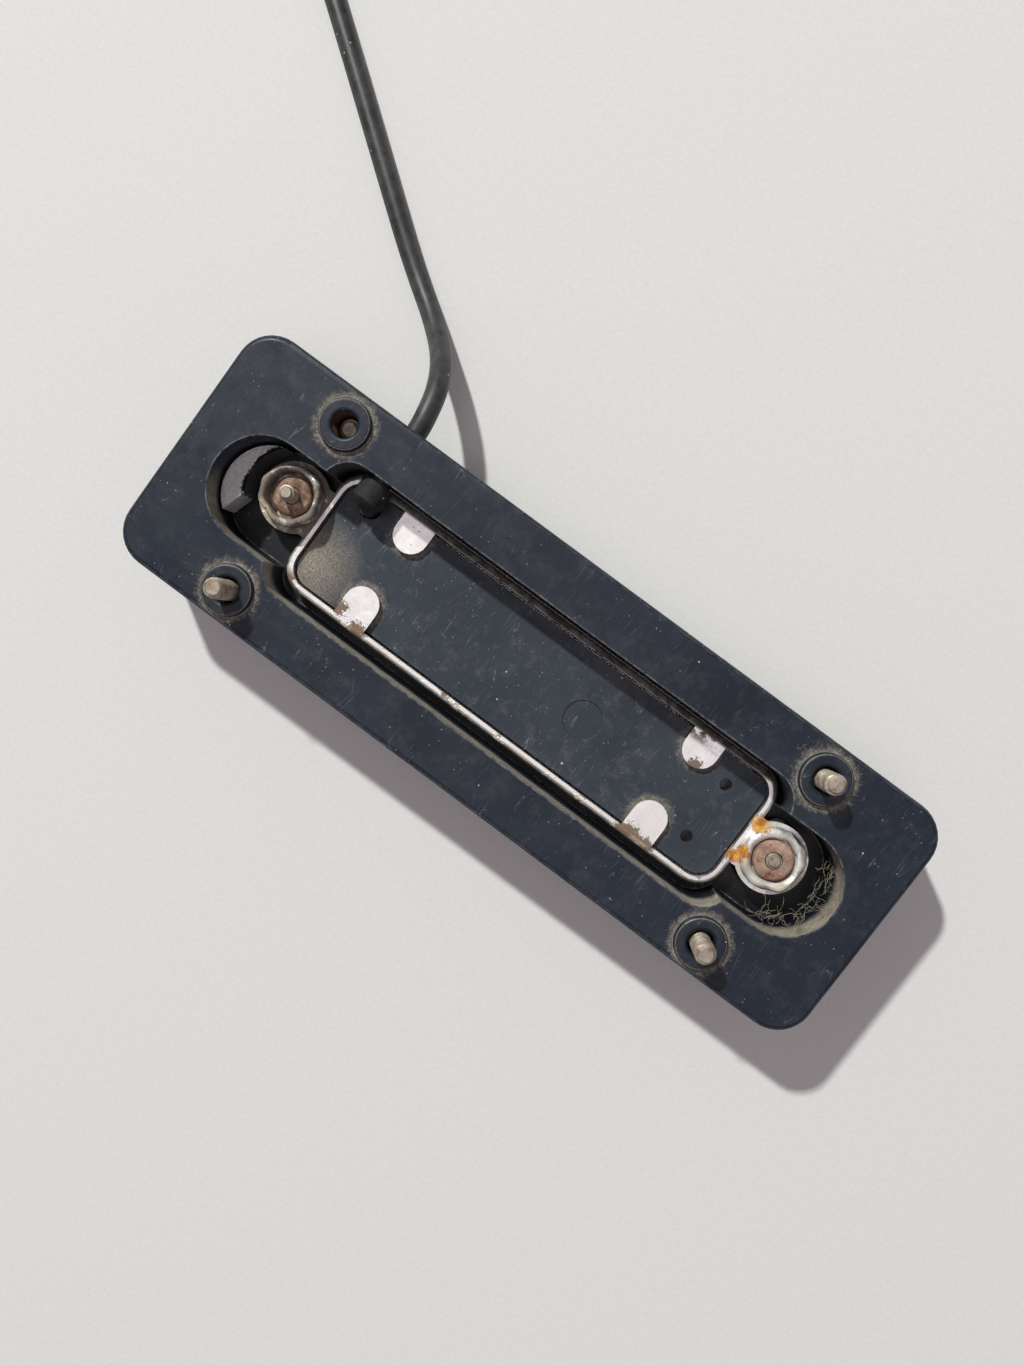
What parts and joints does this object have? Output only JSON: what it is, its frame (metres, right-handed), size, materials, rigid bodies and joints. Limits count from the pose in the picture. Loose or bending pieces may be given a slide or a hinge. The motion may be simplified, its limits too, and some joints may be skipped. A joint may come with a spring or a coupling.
{
  "type": "guitar pickup in mounting surround",
  "caption": "Plated electric guitar pickup hung on two height screws in a black moulded surround, with mounting screws and a thin shielded lead.",
  "frame": {"origin": "centre of the surround's outline, on the plane that the front of the cover rests on", "axes": "+X along the surround's length, +Y towards the side where the lead comes out, +Z towards the back of the pickup"},
  "size_m": [0.1562, 0.1336, 0.021],
  "materials": {
    "black_plastic": "dusty satin",
    "nickel": "worn plating",
    "black_fibre": "scratched satin",
    "dull_steel": "dirty",
    "rusty_steel": "rusted",
    "black_foam": "matte",
    "grey_felt": "matte",
    "black_rubber": "matte",
    "grey_lead": "satin",
    "white_insulation": "satin",
    "tinned_copper": "tinned",
    "cream_bobbin": "gloss",
    "enamelled_wire": "enamelled",
    "magnet_alloy": "ground"
  },
  "bodies": {
    "surround": {"surround": "black_plastic", "end_pad": "grey_felt", "foam_washer_left": "black_foam", "foam_washer_right": "black_foam"},
    "left_nut": {"captive_nut_left": "rusty_steel"},
    "pickup": {"pickup_cover": "nickel", "base_plate": "black_fibre", "bobbin": "cream_bobbin", "coil_winding": "enamelled_wire", "rod_magnet_1": "magnet_alloy", "rod_magnet_2": "magnet_alloy", "rod_magnet_3": "magnet_alloy", "rod_magnet_4": "magnet_alloy", "rod_magnet_5": "magnet_alloy", "rod_magnet_6": "magnet_alloy", "coil_lead_live": "enamelled_wire", "coil_lead_earth": "enamelled_wire", "captive_nut_right": "rusty_steel", "lead_grommet": "black_rubber", "cable": "grey_lead", "cable_coil": "grey_lead", "cable_end": "grey_lead", "core_insulation": "white_insulation", "core_tip": "tinned_copper", "screen_pigtail": "tinned_copper", "cable_tie": "black_rubber"},
    "left_height_screw": {"height_screw_left": "dull_steel"},
    "right_height_screw": {"height_screw_right": "dull_steel"},
    "mounting_screw_left_lower_body": {"mounting_screw_left_lower": "dull_steel"},
    "mounting_screw_left_upper_body": {"mounting_screw_left_upper": "dull_steel"},
    "mounting_screw_right_lower_body": {"mounting_screw_right_lower": "dull_steel"},
    "mounting_screw_right_upper_body": {"mounting_screw_right_upper": "dull_steel"}
  },
  "joints": [
    {"name": "pickup_height", "type": "slide", "parent": "surround", "child": "left_nut", "axis": [0, 0, 1], "range_m": [-0.0008, 0.0006], "deforming": ["foam_washer_left", "foam_washer_right"]},
    {"name": "pickup_tilt", "type": "hinge", "parent": "left_nut", "child": "pickup", "pos_m": [-0.0399, 0.0013, 0.0103], "axis": [0, 1, 0], "range_deg": [-0.5, 0.5], "deforming": ["foam_washer_right"]},
    {"name": "left_height_screw_turn", "type": "hinge", "parent": "surround", "child": "left_height_screw", "pos_m": [-0.0399, 0.0013, 0.0041], "axis": [0, 0, 1], "range_deg": [-435, 580]},
    {"name": "right_height_screw_turn", "type": "hinge", "parent": "surround", "child": "right_height_screw", "pos_m": [0.0405, 0.0005, 0.0041], "axis": [0, 0, 1], "range_deg": [-510, 510]},
    {"name": "mounting_screw_left_lower_turn", "type": "hinge", "parent": "surround", "child": "mounting_screw_left_lower_body", "pos_m": [-0.0381, -0.01335, 0.0154], "axis": [0, 0, 1], "continuous": true},
    {"name": "mounting_screw_left_upper_turn", "type": "hinge", "parent": "surround", "child": "mounting_screw_left_upper_body", "pos_m": [-0.0381, 0.0129, 0.0154], "axis": [0, 0, 1], "continuous": true},
    {"name": "mounting_screw_right_lower_turn", "type": "hinge", "parent": "surround", "child": "mounting_screw_right_lower_body", "pos_m": [0.0381, -0.01335, 0.0154], "axis": [0, 0, 1], "continuous": true},
    {"name": "mounting_screw_right_upper_turn", "type": "hinge", "parent": "surround", "child": "mounting_screw_right_upper_body", "pos_m": [0.0381, 0.0129, 0.0154], "axis": [0, 0, 1], "continuous": true}
  ],
  "couplings": [
    {"joint": "left_height_screw_turn", "follows": "pickup_height", "rad_per_m": -12566},
    {"joint": "right_height_screw_turn", "follows": "pickup_tilt", "ratio": 1010.3}
  ]
}
